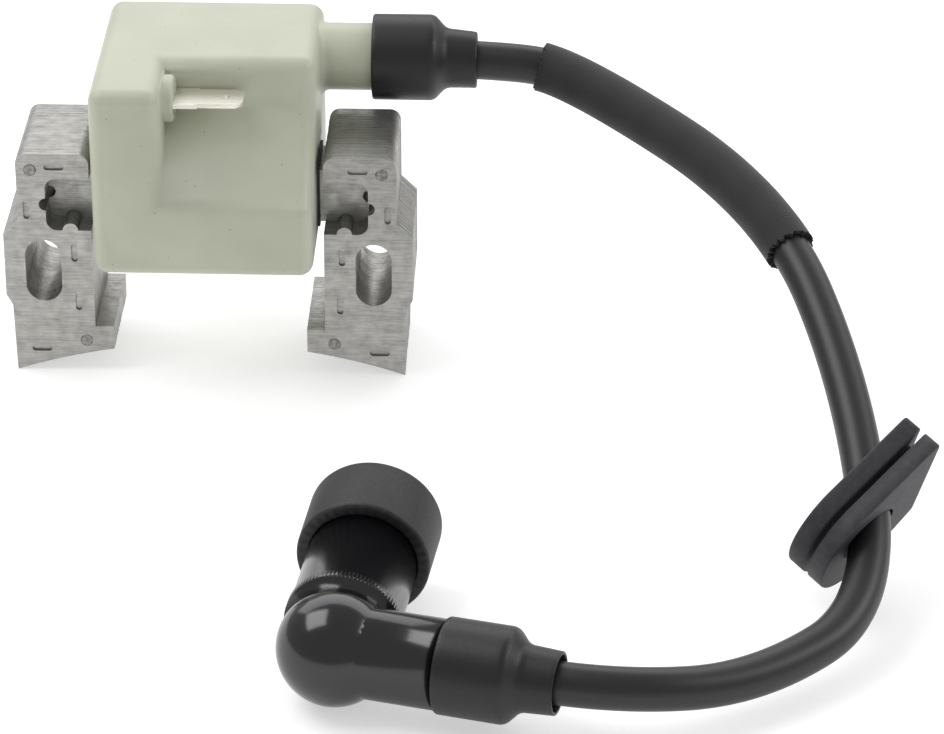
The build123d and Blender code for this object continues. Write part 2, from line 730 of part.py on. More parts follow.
def lead_screw():
    """Wood-screw terminal: a head in the elbow and a thread that grips the conductor."""
    head = SCREW_HEAD_DIAMETER - 2 * SCREW_HEAD_CLEARANCE
    body = rod_along_x(head, SCREW_HEAD_START, SCREW_HEAD_START + SCREW_HEAD_LENGTH)
    body += rod_along_x(SCREW_DIAMETER - 2 * SCREW_CLEARANCE, SUPPRESSOR_START, SCREW_TIP)
    tip = body.faces().sort_by(Axis.X)[-1].edges()
    return chamfer(tip, SCREW_POINT)


def cap_resistor():
    """Suppressor resistor with a metal cap at each end."""
    end = SUPPRESSOR_START + SUPPRESSOR_LENGTH
    body = rod_along_x(SUPPRESSOR_DIAMETER - 2 * SUPPRESSOR_BODY_RELIEF, SUPPRESSOR_START, end)
    for start in (SUPPRESSOR_START, end - SUPPRESSOR_CAP):
        body += rod_along_x(SUPPRESSOR_DIAMETER, start, start + SUPPRESSOR_CAP)
    return tube_place * body


def resistor_spring():
    """Contact spring between the resistor and the plug terminal."""
    radius = SUPPRESSOR_DIAMETER / 2 - SPRING_WIRE
    start = SUPPRESSOR_START + SUPPRESSOR_LENGTH + SPRING_WIRE / 2 + SPRING_END_GAP
    height = SPRING_LENGTH - SPRING_WIRE - 2 * SPRING_END_GAP
    coil = Helix(pitch=height / SPRING_TURNS, height=height, radius=radius)
    section = Plane(origin=coil @ 0, z_dir=coil % 0) * Circle(SPRING_WIRE / 2)
    return tube_place * Pos(start, 0, 0) * Rot(0, 90, 0) * sweep(section, path=coil, is_frenet=True)


def plug_terminal():
    """Brass socket that fits over the spark plug's nut."""
    start = terminal_start()
    cup = rod_along_x(TERMINAL_DIAMETER, start, start + TERMINAL_LENGTH)
    cup -= rod_along_x(TERMINAL_BORE, start + TERMINAL_FLOOR, start + TERMINAL_LENGTH + 1)
    groove = start + TERMINAL_LENGTH - CLIP_SETBACK
    cup -= Pos(groove, 0, 0) * Rot(0, 90, 0) * Torus(TERMINAL_BORE / 2, CLIP_WIRE / 2)
    return tube_place * cup


def retaining_clip():
    """Open wire ring in the terminal's groove, which snaps behind the plug's nut."""
    groove = terminal_start() + TERMINAL_LENGTH - CLIP_SETBACK
    ring = Rot(0, 90, 0) * Torus(TERMINAL_BORE / 2, CLIP_WIRE / 2)
    ring -= box_between((-CLIP_WIRE, -CLIP_GAP / 2, 0), (CLIP_WIRE, CLIP_GAP / 2, TERMINAL_BORE))
    return tube_place * Pos(groove, 0, 0) * ring


def on_cap(part):
    """Move a piece from the cap's own frame to where the cap lies."""
    return cap_place * cap_tilt * part


def build():
    """All pieces by name."""
    right_leg = core_leg()
    pieces = {
        "core_leg_right": right_leg,
        "core_leg_left": mirror(right_leg, Plane.YZ),
        "core_bar": core_bar(),
    }
    for level, place in (("upper", UPPER_RIVET), ("lower", LOWER_RIVET)):
        right_rivet = rivet(place)
        pieces[f"rivet_right_{level}"] = right_rivet
        pieces[f"rivet_left_{level}"] = mirror(right_rivet, Plane.YZ)

    potted = {
        "kill_terminal": kill_terminal(),
        "ht_pin": ht_pin(),
        "igniter_board": igniter_board(),
        "power_transistor": power_transistor(),
        "controller_chip": on_board(CONTROLLER_SIZE, CONTROLLER_X),
        "board_resistor": on_board(RESISTOR_SIZE, SMALL_PARTS_X, SMALL_PARTS_SPREAD / 2),
        "board_capacitor": on_board(CAPACITOR_SIZE, SMALL_PARTS_X, -SMALL_PARTS_SPREAD / 2),
        "earth_strap": earth_strap(),
    }
    pieces.update(potted)
    pieces["coil_case"] = coil_case()
    pieces["potting"] = potting(potted.values())
    pieces["primary_bobbin"] = primary_bobbin()
    pieces["primary_winding"] = primary_winding()
    pieces["secondary_bobbin"] = secondary_bobbin()
    pieces["secondary_winding"] = secondary_winding()

    path = lead_path()
    length = path.length
    bore = CONDUCTOR_DIAMETER + 2 * CONDUCTOR_CLEARANCE
    pieces["lead_jacket"] = along(path, 0, 1, LEAD_DIAMETER, bore)
    wire_start = CONDUCTOR_START / length
    wire_end = 1 - CONDUCTOR_END / length
    pieces["lead_conductor"] = along(path, wire_start, wire_end, CONDUCTOR_DIAMETER)
    pieces["lead_sleeve"] = along(path, SLEEVE_START, SLEEVE_END, SLEEVE_DIAMETER, SLEEVE_BORE)
    pieces["grommet"] = grommet(path)
    pieces["tower_boot"] = Pos(TOWER_END - BOOT_SEAT, TOWER_Y, TOWER_Z) * boot(TOWER_DIAMETER)

    pieces["cap_boot"] = on_cap(Pos(SPIGOT_END - BOOT_SEAT, 0, 0) * boot(TOWER_DIAMETER))
    pieces["cap_body"] = on_cap(cap_body())
    pieces["plug_seal"] = on_cap(plug_seal())
    pieces["lead_screw"] = on_cap(lead_screw())
    pieces["cap_resistor"] = on_cap(cap_resistor())
    pieces["resistor_spring"] = on_cap(resistor_spring())
    pieces["plug_terminal"] = on_cap(plug_terminal())
    pieces["retaining_clip"] = on_cap(retaining_clip())
    report_lead(path)
    return pieces


def report_lead(path):
    """Print the lead's length, its bends and the grommet's place, to compare with the real lead."""
    print("lead length", round(path.length, 1))
    print("bend radii", [round(r, 1) for r in bend_radii(route_points())])
    for name, share in (("grommet", GROMMET_PLACE), ("sleeve start", SLEEVE_START), ("sleeve end", SLEEVE_END)):
        print(name, path @ share, path % share)
    print("tube axis", cap_tilt_direction())


def cap_tilt_direction():
    """Direction in which the plug tube points."""
    plane = Plane(cap_place * cap_tilt * tube_place * Location())
    return plane.x_dir


os.makedirs("parts", exist_ok=True)
for name, piece in build().items():
    piece.label = name
    export_step(piece, f"parts/{name}.step")
    print(name, round(piece.volume, 1))
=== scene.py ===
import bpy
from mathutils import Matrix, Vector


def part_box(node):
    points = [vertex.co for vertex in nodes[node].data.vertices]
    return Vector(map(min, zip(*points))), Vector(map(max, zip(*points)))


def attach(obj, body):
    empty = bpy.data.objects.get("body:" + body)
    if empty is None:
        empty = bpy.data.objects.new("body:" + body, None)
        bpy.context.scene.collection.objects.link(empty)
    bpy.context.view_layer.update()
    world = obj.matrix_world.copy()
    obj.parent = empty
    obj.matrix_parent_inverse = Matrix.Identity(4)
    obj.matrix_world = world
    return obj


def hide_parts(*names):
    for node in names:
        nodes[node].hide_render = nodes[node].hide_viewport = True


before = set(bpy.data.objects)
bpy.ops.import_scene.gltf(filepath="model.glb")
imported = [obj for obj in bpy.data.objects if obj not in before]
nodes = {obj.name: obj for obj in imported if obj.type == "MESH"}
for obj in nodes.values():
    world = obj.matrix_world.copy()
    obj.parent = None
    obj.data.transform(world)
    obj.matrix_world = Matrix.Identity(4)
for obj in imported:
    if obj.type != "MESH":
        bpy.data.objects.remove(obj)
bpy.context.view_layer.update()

import math
import random
import bmesh
import bpy
from mathutils import Matrix, Quaternion, Vector

mm = 0.001
scene = bpy.context.scene


# ---- small helpers

def linearColour(hexText):
    # sRGB hex to the linear values that shaders use
    parts = [int(hexText[i:i + 2], 16) / 255 for i in (1, 3, 5)]
    return tuple(c / 12.92 if c < 0.04045 else ((c + 0.055) / 1.055) ** 2.4 for c in parts) + (1.0,)


def addNode(tree, kind, values=None, links=None, **settings):
    # one node with its settings, its fixed values and the sockets that feed it
    node = tree.nodes.new(kind)
    for name, setting in settings.items():
        setattr(node, name, setting)
    for name, value in (values or {}).items():
        node.inputs[name].default_value = value
    for name, socket in (links or {}).items():
        tree.links.new(socket, node.inputs[name])
    return node


def newMaterial(name):
    material = bpy.data.materials.new(name)
    material.use_nodes = True
    tree = material.node_tree
    tree.nodes.clear()
    shader = addNode(tree, "ShaderNodeBsdfPrincipled")
    addNode(tree, "ShaderNodeOutputMaterial", links={"Surface": shader.outputs[0]})
    coords = addNode(tree, "ShaderNodeTexCoord").outputs["Object"]
    return material, tree, shader, coords


def stretched(tree, coords, scale):
    return addNode(tree, "ShaderNodeMapping", {"Scale": scale}, {"Vector": coords}).outputs[0]


def noise(tree, vector, perMetre, detail=3.0, roughness=0.55):
    values = {"Scale": perMetre, "Detail": detail, "Roughness": roughness}
    return addNode(tree, "ShaderNodeTexNoise", values, {"Vector": vector}).outputs["Fac"]


def ramp(tree, factor, stops):
    node = addNode(tree, "ShaderNodeValToRGB", links={"Fac": factor})
    elements = node.color_ramp.elements
    while len(elements) < len(stops):
        elements.new(0.5)
    for element, (place, colour) in zip(elements, stops):
        element.position = place
        element.color = linearColour(colour) if isinstance(colour, str) else (colour, colour, colour, 1)
    return node.outputs["Color"]


def mixColour(tree, factor, first, second):
    node = addNode(tree, "ShaderNodeMix", data_type="RGBA")
    sockets = {"Factor": factor, "A": first, "B": second}
    for index, key in ((0, "Factor"), (6, "A"), (7, "B")):
        value = sockets[key]
        if isinstance(value, bpy.types.NodeSocket):
            tree.links.new(value, node.inputs[index])
        else:
            node.inputs[index].default_value = value
    return node.outputs[2]


def bump(tree, shader, height, distance, strength=1.0, normal=None):
    links = {"Height": height}
    if normal is not None:
        links["Normal"] = normal
    node = addNode(tree, "ShaderNodeBump", {"Strength": strength, "Distance": distance}, links)
    tree.links.new(node.outputs[0], shader.inputs["Normal"])
    return node.outputs[0]


def linkObject(name, mesh, material):
    piece = bpy.data.objects.new(name, mesh)
    scene.collection.objects.link(piece)
    if material is not None:
        mesh.materials.clear()
        mesh.materials.append(material)
    return piece


def shadeByAngle(mesh, degrees):
    # smooth faces, with edges sharper than the angle left crisp
    mesh.polygons.foreach_set("use_smooth", [True] * len(mesh.polygons))
    mesh.set_sharp_from_angle(angle=math.radians(degrees))


def mergedCopy(nodeName, reach=0.002 * mm):
    shape = bmesh.new()
    shape.from_mesh(nodes[nodeName].data)
    bmesh.ops.remove_doubles(shape, verts=shape.verts, dist=reach)
    return shape


# ---- finishes

def brushedLaminationSteel():
    # blanked electrical steel: grey, faintly oily, with rolling streaks and dull spots
    look = {"light": "#b7b6b2", "dark": "#888783", "streakMm": 0.25, "spotMm": 2.2, "roughness": 0.36}
    material, tree, shader, coords = newMaterial("brushedLaminationSteel")
    streaks = noise(tree, stretched(tree, coords, (0.06, 1.0, 1.0)), 1000 / look["streakMm"], 4.0)
    spots = noise(tree, coords, 1000 / look["spotMm"], 5.0, 0.65)
    both = mixColour(tree, 0.45, streaks, spots)
    colour = ramp(tree, both, [(0.3, look["dark"]), (0.68, look["light"])])
    tree.links.new(colour, shader.inputs["Base Color"])
    rough = ramp(tree, spots, [(0.3, look["roughness"] + 0.14), (0.7, look["roughness"] - 0.04)])
    tree.links.new(rough, shader.inputs["Roughness"])
    shader.inputs["Metallic"].default_value = 0.85
    bump(tree, shader, both, 0.03 * mm, 0.6)
    return material


def rivetSteel():
    # plain steel pressed flat: a little darker and smoother than the laminations
    material, tree, shader, coords = newMaterial("rivetSteel")
    grime = noise(tree, coords, 1000 / 0.6, 3.0)
    colour = ramp(tree, grime, [(0.35, "#6b6a67"), (0.65, "#9b9a96")])
    tree.links.new(colour, shader.inputs["Base Color"])
    shader.inputs["Metallic"].default_value = 0.9
    shader.inputs["Roughness"].default_value = 0.4
    bump(tree, shader, grime, 0.05 * mm, 0.5)
    return material


def mouldedCaseResin():
    # glass-filled thermoset, pale green-grey, satin, with a fine spark-eroded grain and small pits, their
    # hollows darkened with a painted shade colour
    look = {
        "base": "#b9bca9", "shade": "#b1b4a1", "pit": "#94967f",
        "cloudMm": 14, "grainMm": 0.22, "pitMm": 2.6,
    }
    material, tree, shader, coords = newMaterial("mouldedCaseResin")
    clouds = noise(tree, coords, 1000 / look["cloudMm"], 3.0)
    tint = ramp(tree, clouds, [(0.3, look["shade"]), (0.7, look["base"])])
    cells = addNode(tree, "ShaderNodeTexVoronoi", {"Scale": 1000 / look["pitMm"]}, {"Vector": coords})
    # pit mask: the darker pit colour is painted shade in the hollows, and the same mask dents the bump below
    pits = ramp(tree, cells.outputs["Distance"], [(0.035, 1.0), (0.075, 0.0)])
    colour = mixColour(tree, pits, tint, linearColour(look["pit"]))
    tree.links.new(colour, shader.inputs["Base Color"])
    grain = noise(tree, coords, 1000 / look["grainMm"], 2.0)
    rough = ramp(tree, grain, [(0.3, 0.36), (0.7, 0.48)])
    tree.links.new(rough, shader.inputs["Roughness"])
    shader.inputs["IOR"].default_value = 1.5
    first = bump(tree, shader, grain, 0.02 * mm, 0.5)
    dents = addNode(tree, "ShaderNodeMath", {0: 1.0}, {1: pits}, operation="SUBTRACT").outputs[0]
    bump(tree, shader, dents, 0.08 * mm, 0.6, first)
    return material


def castEpoxy():
    # potting resin poured in from the back: glossy, dark grey, with a slightly wavy level
    material, tree, shader, coords = newMaterial("castEpoxy")
    waves = noise(tree, coords, 1000 / 9, 2.0)
    colour = ramp(tree, waves, [(0.3, "#2d2c2a"), (0.7, "#383633")])
    tree.links.new(colour, shader.inputs["Base Color"])
    shader.inputs["Roughness"].default_value = 0.18
    shader.inputs["IOR"].default_value = 1.55
    bump(tree, shader, waves, 0.5 * mm, 0.5)
    return material


def tinnedBrass():
    # bright tin over stamped brass: pale, with fine scratches along its length
    material, tree, shader, coords = newMaterial("tinnedBrass")
    scratches = noise(tree, stretched(tree, coords, (0.08, 1.0, 1.0)), 1000 / 0.12, 3.0)
    colour = ramp(tree, scratches, [(0.3, "#dedbd0"), (0.7, "#f4f2e8")])
    tree.links.new(colour, shader.inputs["Base Color"])
    shader.inputs["Metallic"].default_value = 0.9
    shader.inputs["Roughness"].default_value = 0.42
    bump(tree, shader, scratches, 0.01 * mm, 0.5)
    return material


def plainMetal(name, dark, light, roughness, grainMm=0.3):
    # turned or drawn metal that sits inside the coil and the cap
    material, tree, shader, coords = newMaterial(name)
    grain = noise(tree, coords, 1000 / grainMm, 3.0)
    colour = ramp(tree, grain, [(0.35, dark), (0.65, light)])
    tree.links.new(colour, shader.inputs["Base Color"])
    shader.inputs["Metallic"].default_value = 1.0
    shader.inputs["Roughness"].default_value = roughness
    bump(tree, shader, grain, 0.01 * mm, 0.4)
    return material


def plainPlastic(name, dark, light, roughness, grainMm=0.4):
    # small moulded parts: near-even colour with a fine grain
    material, tree, shader, coords = newMaterial(name)
    grain = noise(tree, coords, 1000 / grainMm, 3.0)
    colour = ramp(tree, grain, [(0.35, dark), (0.65, light)])
    tree.links.new(colour, shader.inputs["Base Color"])
    shader.inputs["Roughness"].default_value = roughness
    bump(tree, shader, grain, 0.015 * mm, 0.4)
    return material


def woundCopper():
    # enamelled wire: reddish, with a turn every half millimetre along X, each turn painted darker at its
    # edges as shade in the grooves between turns
    turnMm = 0.5
    wavePerTurn = 6.2832
    material, tree, shader, coords = newMaterial("woundCopper")
    values = {"Scale": 1000 / turnMm / wavePerTurn, "Distortion": 0.0}
    turns = addNode(tree, "ShaderNodeTexWave", values, {"Vector": coords}, bands_direction="X").outputs["Fac"]
    # dark to light across each turn: painted shade in the grooves between turns, not a colour of the wire
    colour = ramp(tree, turns, [(0.1, "#6d2f17"), (0.8, "#b8623a")])
    tree.links.new(colour, shader.inputs["Base Color"])
    shader.inputs["Metallic"].default_value = 1.0
    shader.inputs["Roughness"].default_value = 0.35
    bump(tree, shader, turns, 0.1 * mm, 0.7)
    return material


def mouldedRubber(name, dark, light, roughness, grainMm=0.35, dustMm=1.6):
    # moulded rubber: near-black, satin, with a fine mould grain and a trace of dust
    material, tree, shader, coords = newMaterial(name)
    grain = noise(tree, coords, 1000 / grainMm, 3.0)
    dust = noise(tree, coords, 1000 / dustMm, 5.0, 0.7)
    colour = ramp(tree, dust, [(0.4, dark), (0.75, light)])
    tree.links.new(colour, shader.inputs["Base Color"])
    rough = ramp(tree, grain, [(0.3, roughness - 0.05), (0.7, roughness + 0.06)])
    tree.links.new(rough, shader.inputs["Roughness"])
    shader.inputs["IOR"].default_value = 1.5
    bump(tree, shader, grain, 0.03 * mm, 0.5)
    return material


def extrudedLeadRubber():
    # extruded jacket: smooth satin black, with a faint cloudy wear
    material, tree, shader, coords = newMaterial("extrudedLeadRubber")
    grain = noise(tree, coords, 1000 / 0.8, 4.0)
    colour = ramp(tree, grain, [(0.3, "#101013"), (0.7, "#17171a")])
    tree.links.new(colour, shader.inputs["Base Color"])
    shader.inputs["Roughness"].default_value = 0.42
    shader.inputs["IOR"].default_value = 1.52
    bump(tree, shader, grain, 0.02 * mm, 0.4)
    return material


def wovenSleeving():
    # varnished glass-fibre sleeve: dull black threads, painted paler on their crowns as a highlight and
    # darker in the dips as shade, mixed with random fluff
    material, tree, shader, coords = newMaterial("wovenSleeving")
    lift = addNode(tree, "ShaderNodeAttribute", attribute_name="threadHeight").outputs["Fac"]
    fluff = noise(tree, coords, 1000 / 0.2, 4.0)
    # thread height sets the colour: painted highlight on the crowns and painted shade in the dips, with fluff
    # as real random tone
    both = mixColour(tree, 0.35, lift, fluff)
    colour = ramp(tree, both, [(0.25, "#0a0a0c"), (0.8, "#232327")])
    tree.links.new(colour, shader.inputs["Base Color"])
    shader.inputs["Roughness"].default_value = 0.75
    shader.inputs["Sheen Weight"].default_value = 0.15
    bump(tree, shader, fluff, 0.05 * mm, 0.5)
    return material


def glossPhenolic():
    # compression-moulded phenolic: deep black, glossy, with a hint of ripple
    material, tree, shader, coords = newMaterial("glossPhenolic")
    ripple = noise(tree, coords, 1000 / 6, 2.0)
    specks = noise(tree, coords, 1000 / 0.3, 3.0)
    colour = ramp(tree, specks, [(0.3, "#0b0b0d"), (0.7, "#131316")])
    tree.links.new(colour, shader.inputs["Base Color"])
    shader.inputs["Roughness"].default_value = 0.16
    shader.inputs["IOR"].default_value = 1.6
    bump(tree, shader, ripple, 0.15 * mm, 0.35)
    return material


steel = brushedLaminationSteel()
caseResin = mouldedCaseResin()
bootRubber = mouldedRubber("mouldedBootRubber", "#08080a", "#101013", 0.45)
grommetRubber = mouldedRubber("mouldedGrommetRubber", "#29292d", "#38383d", 0.62)
sealRubber = mouldedRubber("mouldedSealRubber", "#131316", "#1e1e22", 0.55)
phenolic = glossPhenolic()
tabTin = tinnedBrass()
turnedBrass = plainMetal("turnedBrass", "#a98642", "#cfae63", 0.28)
nodeFinishes = {
    rivetSteel(): ["rivet_left_upper", "rivet_left_lower", "rivet_right_upper", "rivet_right_lower"],
    caseResin: ["coil_case"],
    castEpoxy(): ["potting"],
    tabTin: ["kill_terminal"],
    turnedBrass: ["ht_pin", "lead_screw", "plug_terminal"],
    plainMetal("springSteel", "#85857f", "#aeaea8", 0.3): ["resistor_spring", "retaining_clip"],
    plainMetal("bareCopper", "#9c5531", "#c97c4e", 0.35): ["earth_strap", "lead_conductor"],
    woundCopper(): ["primary_winding", "secondary_winding"],
    plainPlastic("blackBobbinNylon", "#141415", "#1e1e1f", 0.45): ["primary_bobbin", "secondary_bobbin"],
    plainPlastic("solderMask", "#1d4a2c", "#28613b", 0.3): ["igniter_board"],
    plainPlastic("chipEpoxy", "#1a1a1c", "#242426", 0.55): [
        "power_transistor", "controller_chip", "board_resistor",
    ],
    plainPlastic("capacitorCeramic", "#8d7a58", "#a18c66", 0.4): ["board_capacitor"],
    plainPlastic("resistorCeramic", "#9a948a", "#b2aca1", 0.5): ["cap_resistor"],
    grommetRubber: ["grommet"],
    phenolic: ["cap_body"],
}
for material, names in nodeFinishes.items():
    for name in names:
        mesh = nodes[name].data
        mesh.materials.clear()
        mesh.materials.append(material)
print("finishes made")


# ---- moulded and stamped pieces, their triangles joined so that curved faces shade smoothly

joined = {"thinnest": 0.03, "crispFrom": 32}


def joinedCopy(name, nodeName, body, material):
    shape = mergedCopy(nodeName)
    bmesh.ops.dissolve_degenerate(shape, dist=joined["thinnest"] * mm, edges=shape.edges)
    shape.transform(nodes[nodeName].matrix_world)
    mesh = bpy.data.meshes.new(name)
    shape.to_mesh(mesh)
    shape.free()
    shadeByAngle(mesh, joined["crispFrom"])
    piece = linkObject(name, mesh, material)
    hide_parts(nodeName)
    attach(piece, body)


joinedCopy("coilCase", "coil_case", "coil", caseResin)
joinedCopy("killTerminal", "kill_terminal", "coil", tabTin)
joinedCopy("grommetPiece", "grommet", "grommet", grommetRubber)
joinedCopy("capBody", "cap_body", "cap", phenolic)
joinedCopy("plugTerminal", "plug_terminal", "cap", turnedBrass)
print("moulded pieces joined")


# ---- camera, before the cords

camera = {
    "place": (0.06468, -0.65096, 0.34969), "down": 28.5, "turn": -1.53, "roll": 0.22,
    "sensor": 36, "focal": 152.542,
}


def addCamera():
    lens = bpy.data.cameras.new("camera")
    lens.sensor_width = camera["sensor"]
    lens.lens = camera["focal"]
    lens.clip_start = 0.01
    lens.clip_end = 20
    view = bpy.data.objects.new("camera", lens)
    scene.collection.objects.link(view)
    turn = Matrix.Rotation(math.radians(-camera["turn"]), 4, "Z")
    tilt = Matrix.Rotation(math.radians(90 - camera["down"]), 4, "X")
    roll = Matrix.Rotation(math.radians(camera["roll"]), 4, "Z")
    view.matrix_world = Matrix.Translation(camera["place"]) @ turn @ tilt @ roll
    scene.camera = view


addCamera()
print("camera placed")


# ---- lead and what lies along it

lead = {
    "diameter": 7.0,
    "length": 257.0,
    "route": [
        (21.5, 13.5, 52.6), (52.4, 13.5, 52.6), (65.4, 11.8, 50.5), (100.5, -24.5, 43.0),
        (113.1, -60.9, 26.0), (116.1, -101.0, 8.2), (95.6, -120.6, 5.7), (73.2, -129.6, 9.5),
        (48.4, -123.2, 9.5), (45.46, -122.46, 9.5),
    ],
}


def leadCurve(name, radius):
    curve = bpy.data.curves.new(name, "CURVE")
    curve.dimensions = "3D"
    spline = curve.splines.new("NURBS")
    spline.points.add(len(lead["route"]) - 1)
    for point, place in zip(spline.points, lead["route"]):
        point.co = (*[value * mm for value in place], 1)
    spline.order_u = 3
    spline.use_endpoint_u = True
    spline.resolution_u = 24
    curve.resolution_u = 24
    curve.bevel_depth = radius
    curve.bevel_resolution = 10
    curve.use_fill_caps = True
    piece = bpy.data.objects.new(name, curve)
    scene.collection.objects.link(piece)
    return piece


def leadLine():
    # points of the lead's own smooth line, close together
    bare = leadCurve("leadLine", 0)
    graph = bpy.context.evaluated_depsgraph_get()
    mesh = bpy.data.meshes.new_from_object(bare.evaluated_get(graph))
    points = [v.co.copy() for v in mesh.vertices]
    bpy.data.objects.remove(bare)
    return points


def walkLine(points):
    # distance from the start to each point
    reached = [0.0]
    for first, second in zip(points, points[1:]):
        reached.append(reached[-1] + (second - first).length)
    return reached


def framesAlong(points, start, end, count):
    # evenly spaced places with a side direction that doesn't twist
    reached = walkLine(points)
    side = Vector((0, 0, 1))
    frames = []
    index = 0
    for step in range(count + 1):
        want = start + (end - start) * step / count
        while index < len(points) - 2 and reached[index + 1] < want:
            index += 1
        share = (want - reached[index]) / (reached[index + 1] - reached[index])
        place = points[index].lerp(points[index + 1], share)
        ahead = points[min(index + 2, len(points) - 1)] - points[max(index - 1, 0)]
        ahead.normalize()
        side = (side - ahead * side.dot(ahead)).normalized()
        frames.append((place, ahead, side, ahead.cross(side)))
    return frames


linePoints = leadLine()
lineLength = walkLine(linePoints)[-1]
print("lead line", round(lineLength * 1000, 1), "mm")

sleeve = {
    "start": 0.148, "end": 0.404, "radius": 4.5, "bore": 3.6, "threads": 44, "threadLift": 0.09,
    "around": 132, "rows": 300, "fray": 0.35, "boreHeight": 0.3,
}


def makeSleeve():
    # a tube whose wall rises and falls with the crossing threads; its ends are cut square, a little frayed
    rows = sleeve["rows"]
    turns = sleeve["threads"]
    start = sleeve["start"] * lineLength
    end = sleeve["end"] * lineLength
    frames = framesAlong(linePoints, start, end, rows)
    pitch = 2 * math.pi * sleeve["radius"] * mm / turns
    random.seed(4)
    fray = [random.uniform(-sleeve["fray"], sleeve["fray"]) * mm for i in range(sleeve["around"])]
    shape = bmesh.new()
    lift = shape.verts.layers.float.new("threadHeight")

    def addRing(row, outside):
        place, ahead, side, other = frames[row]
        along = (end - start) * row / rows
        ring = []
        for column in range(sleeve["around"]):
            angle = 2 * math.pi * column / sleeve["around"]
            height = sleeve["boreHeight"]
            radius = sleeve["bore"] * mm
            if outside:
                across = angle / (2 * math.pi) * turns
                leaning = math.sin(math.pi * (across + along / pitch))
                crossing = math.sin(math.pi * (across - along / pitch))
                height = abs(leaning * crossing)
                radius = (sleeve["radius"] - sleeve["threadLift"] * (1 - height)) * mm
            out = side * math.cos(angle) + other * math.sin(angle)
            shift = ahead * fray[column] if row in (0, rows) else ahead * 0
            vert = shape.verts.new(place + out * radius + shift)
            vert[lift] = height
            ring.append(vert)
        return ring

    rings = [addRing(row, True) for row in range(rows + 1)]
    rings += [addRing(row, False) for row in range(rows, -1, -1)]
    for first, second in zip(rings, rings[1:] + rings[:1]):
        for column in range(sleeve["around"]):
            after = (column + 1) % sleeve["around"]
            shape.faces.new((first[column], first[after], second[after], second[column]))
    bmesh.ops.recalc_face_normals(shape, faces=shape.faces)
    mesh = bpy.data.meshes.new("leadSleeve")
    shape.to_mesh(mesh)
    shape.free()
    shadeByAngle(mesh, 60)
    return linkObject("leadSleeve", mesh, wovenSleeving())


leadPiece = leadCurve("leadJacket", lead["diameter"] / 2 * mm)
leadPiece.data.materials.append(extrudedLeadRubber())
sleevePiece = makeSleeve()
print("lead and sleeve made")


# ---- laminated core

core = {"pitch": 0.495, "gap": 0.05, "wander": 0.035, "markDepth": 0.15}


def crossSection(nodeName, y):
    # flat shape of a node where a plane across Y cuts it
    shape = mergedCopy(nodeName)
    everything = list(shape.verts) + list(shape.edges) + list(shape.faces)
    bmesh.ops.bisect_plane(
        shape, geom=everything, plane_co=(0, y, 0), plane_no=(0, 1, 0), clear_inner=True, clear_outer=True,
    )
    bmesh.ops.remove_doubles(shape, verts=shape.verts, dist=0.004 * mm)
    bmesh.ops.triangle_fill(shape, use_beauty=True, use_dissolve=False, edges=shape.edges)
    for face in shape.faces:
        if face.normal.y > 0:
            face.normal_flip()
    for vert in shape.verts:
        vert.co.y = 0
    mesh = bpy.data.meshes.new(nodeName + "Section")
    shape.to_mesh(mesh)
    shape.free()
    return mesh


def laminationTree():
    # a flat shape becomes a stack of thin closed plates, each a hair out of line
    tree = bpy.data.node_groups.new("laminationStack", "GeometryNodeTree")
    face = tree.interface
    face.new_socket("Geometry", in_out="INPUT", socket_type="NodeSocketGeometry")
    for name, kind in (
        ("plateCount", "Int"), ("firstY", "Float"), ("pitch", "Float"),
        ("thickness", "Float"), ("wander", "Float"), ("seed", "Int"), ("material", "Material"),
    ):
        face.new_socket(name, in_out="INPUT", socket_type="NodeSocket" + kind)
    face.new_socket("Geometry", in_out="OUTPUT", socket_type="NodeSocketGeometry")
    given = addNode(tree, "NodeGroupInput").outputs
    extruded = addNode(
        tree, "GeometryNodeExtrudeMesh", {"Individual": False},
        {"Mesh": given["Geometry"], "Offset Scale": given["thickness"]}, mode="FACES",
    )
    back = addNode(tree, "GeometryNodeFlipFaces", links={"Mesh": given["Geometry"]})
    together = addNode(tree, "GeometryNodeJoinGeometry")
    for part in (back.outputs[0], extruded.outputs["Mesh"]):
        tree.links.new(part, together.inputs[0])
    plate = addNode(
        tree, "GeometryNodeMergeByDistance", {"Distance": 0.002 * mm}, {"Geometry": together.outputs[0]},
    )
    first = addNode(tree, "ShaderNodeCombineXYZ", links={"Y": given["firstY"]})
    step = addNode(tree, "ShaderNodeCombineXYZ", links={"Y": given["pitch"]})
    line = addNode(
        tree, "GeometryNodeMeshLine", links={
            "Count": given["plateCount"], "Start Location": first.outputs[0], "Offset": step.outputs[0]},
        mode="OFFSET", count_mode="TOTAL",
    )
    less = addNode(tree, "ShaderNodeMath", {1: -1.0}, {0: given["wander"]}, operation="MULTIPLY")
    lowest = addNode(tree, "ShaderNodeCombineXYZ", links={"X": less.outputs[0], "Z": less.outputs[0]})
    highest = addNode(tree, "ShaderNodeCombineXYZ", links={"X": given["wander"]})
    slip = addNode(
        tree, "FunctionNodeRandomValue", links={
            "Min": lowest.outputs[0], "Max": highest.outputs[0], "Seed": given["seed"]},
        data_type="FLOAT_VECTOR",
    )
    placed = addNode(
        tree, "GeometryNodeSetPosition", links={"Geometry": line.outputs[0], "Offset": slip.outputs[0]},
    )
    stack = addNode(
        tree, "GeometryNodeInstanceOnPoints",
        links={"Points": placed.outputs[0], "Instance": plate.outputs[0]},
    )
    real = addNode(tree, "GeometryNodeRealizeInstances", links={"Geometry": stack.outputs[0]})
    painted = addNode(
        tree, "GeometryNodeSetMaterial", links={"Geometry": real.outputs[0], "Material": given["material"]},
    )
    addNode(tree, "NodeGroupOutput", links={"Geometry": painted.outputs[0]})
    return tree


def socketIds(tree):
    return {item.name: item.identifier for item in tree.interface.items_tree if item.in_out == "INPUT"}


